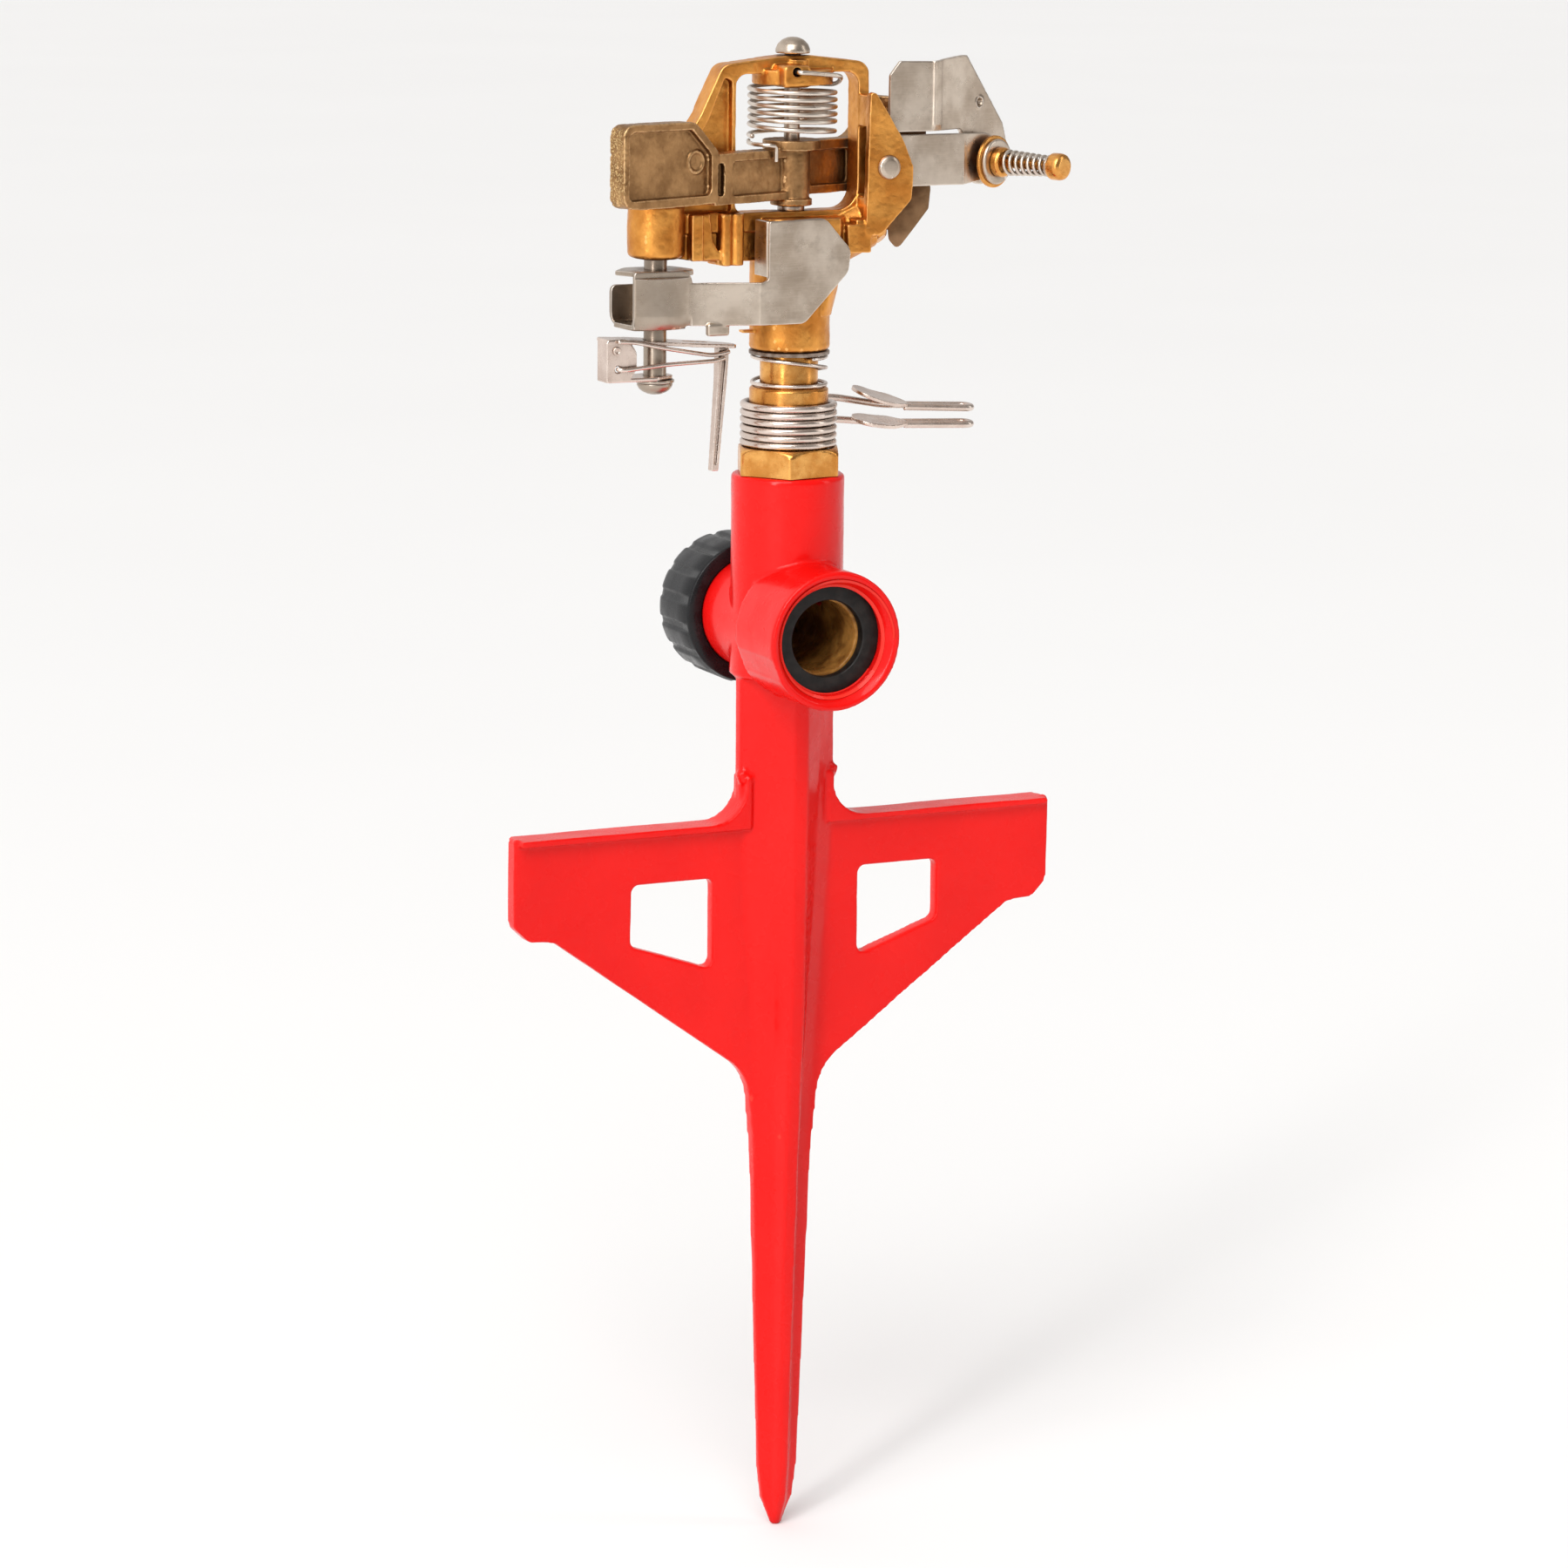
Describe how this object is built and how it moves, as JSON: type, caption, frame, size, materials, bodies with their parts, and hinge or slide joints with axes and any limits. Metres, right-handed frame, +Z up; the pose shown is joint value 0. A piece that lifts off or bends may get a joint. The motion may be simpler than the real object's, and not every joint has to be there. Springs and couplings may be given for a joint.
{
  "type": "impact sprinkler on a step-in spike",
  "caption": "Part-circle impact sprinkler: brass head with a sprung striking arm, jet deflector, trip lever and stop collars on a red step-in spike.",
  "frame": {"origin": "on the swivel axis at the top edges of the step wings, which is ground level when the spike is pushed in", "axes": "+Z up the swivel axis, X along the step wings with +X on the jet side at rest, +Y from the hose inlet to the hose cap"},
  "size_m": [0.142, 0.0647, 0.3651],
  "materials": {
    "red_paint": "glossy red enamel on an aluminium casting",
    "cast_brass": "cast brass, satin",
    "machined_brass": "turned brass, polished",
    "arm_bronze": "cast bronze, dark and matt",
    "spoon_bronze": "dark bronze plate",
    "brushed_stainless": "brushed stainless sheet and wire",
    "bright_stainless": "bright stainless",
    "grey_washer": "grey-brown hard washer",
    "black_plastic": "glossy black moulding",
    "black_rubber": "black rubber"
  },
  "bodies": {
    "base": {"tee_casting": "red_paint", "spike_blade": "red_paint", "inlet_washer": "black_rubber", "bearing_nipple": "machined_brass", "bearing_spring": "bright_stainless", "tube_seal": "black_rubber", "tube_washer": "machined_brass"},
    "cap_travel": {"hose_cap_washer": "black_rubber"},
    "cap": {"hose_cap": "black_plastic"},
    "head": {"head_body": "cast_brass", "range_nozzle": "machined_brass", "bearing_tube": "machined_brass", "thrust_washer": "grey_washer", "arm_pin": "brushed_stainless", "arm_washer": "brushed_stainless", "arm_spring": "brushed_stainless", "trip_pin": "brushed_stainless", "trip_pin_washer": "brushed_stainless", "bracket_rivet": "brushed_stainless"},
    "swing_arm": {"arm": "arm_bronze", "arm_spoon": "spoon_bronze", "arm_spring_tail": "brushed_stainless"},
    "deflector": {"deflector_bracket": "brushed_stainless", "deflector_flap": "brushed_stainless", "screw_bush": "machined_brass", "screw_plate": "brushed_stainless", "screw_spring": "brushed_stainless"},
    "screw_travel": {"screw_washer": "brushed_stainless"},
    "screw": {"diffuser_screw": "machined_brass"},
    "trigger": {"trigger_bracket": "bright_stainless", "trigger_rivet": "bright_stainless", "trigger_blade": "bright_stainless", "overcentre_spring": "bright_stainless"},
    "lever": {"trip_lever": "brushed_stainless"},
    "upper_stop": {"upper_collar": "bright_stainless", "upper_finger_tab": "bright_stainless"},
    "lower_stop": {"lower_collar": "bright_stainless", "lower_finger_tab": "bright_stainless"}
  },
  "joints": [
    {"name": "cap_slide", "type": "slide", "parent": "base", "child": "cap_travel", "axis": [0, 1, 0], "range_m": [0, 0.0127]},
    {"name": "cap_turn", "type": "hinge", "parent": "cap_travel", "child": "cap", "pos_m": [0, 0.0276, 0.0472], "axis": [0, 1, 0], "range_deg": [0, 2075]},
    {"name": "head_swivel", "type": "hinge", "parent": "base", "child": "head", "pos_m": [0, 0, 0.108], "axis": [0, 0, 1], "range_deg": [-140, 150]},
    {"name": "arm_swing", "type": "hinge", "parent": "head", "child": "swing_arm", "pos_m": [0, 0, 0.155], "axis": [0, 0, 1], "range_deg": [0, 90], "stiffness_Nm_per_rad": 0.012, "springref_deg": -40.11},
    {"name": "deflector_tilt", "type": "hinge", "parent": "head", "child": "deflector", "pos_m": [0.021, -0.0064, 0.1562], "axis": [0, 1, 0], "range_deg": [-6, 18]},
    {"name": "screw_slide", "type": "slide", "parent": "deflector", "child": "screw_travel", "axis": [0.4067, -0.9135, 0], "range_m": [0, 0.003]},
    {"name": "screw_turn", "type": "hinge", "parent": "screw_travel", "child": "screw", "pos_m": [0.051, -0.00201, 0.1563], "axis": [0.4067, -0.9135, 0], "range_deg": [0, 1600]},
    {"name": "trigger_trip", "type": "hinge", "parent": "head", "child": "trigger", "pos_m": [-0.0348, 0, 0.125], "axis": [0, 0, 1], "range_deg": [0, 25]},
    {"name": "lever_trip", "type": "hinge", "parent": "head", "child": "lever", "pos_m": [-0.0348, 0, 0.125], "axis": [0, 0, 1], "range_deg": [-15, 0]},
    {"name": "upper_stop_turn", "type": "hinge", "parent": "base", "child": "upper_stop", "pos_m": [0, 0, 0.0985], "axis": [0, 0, 1], "range_deg": [-120, 120]},
    {"name": "lower_stop_turn", "type": "hinge", "parent": "base", "child": "lower_stop", "pos_m": [0, 0, 0.0935], "axis": [0, 0, 1], "range_deg": [-120, 120]}
  ],
  "couplings": [
    {"joint": "cap_turn", "follows": "cap_slide", "rad_per_m": 2844.7},
    {"joint": "screw_turn", "follows": "screw_slide", "rad_per_m": 8976},
    {"joint": "lever_trip", "follows": "trigger_trip", "ratio": -0.6}
  ]
}
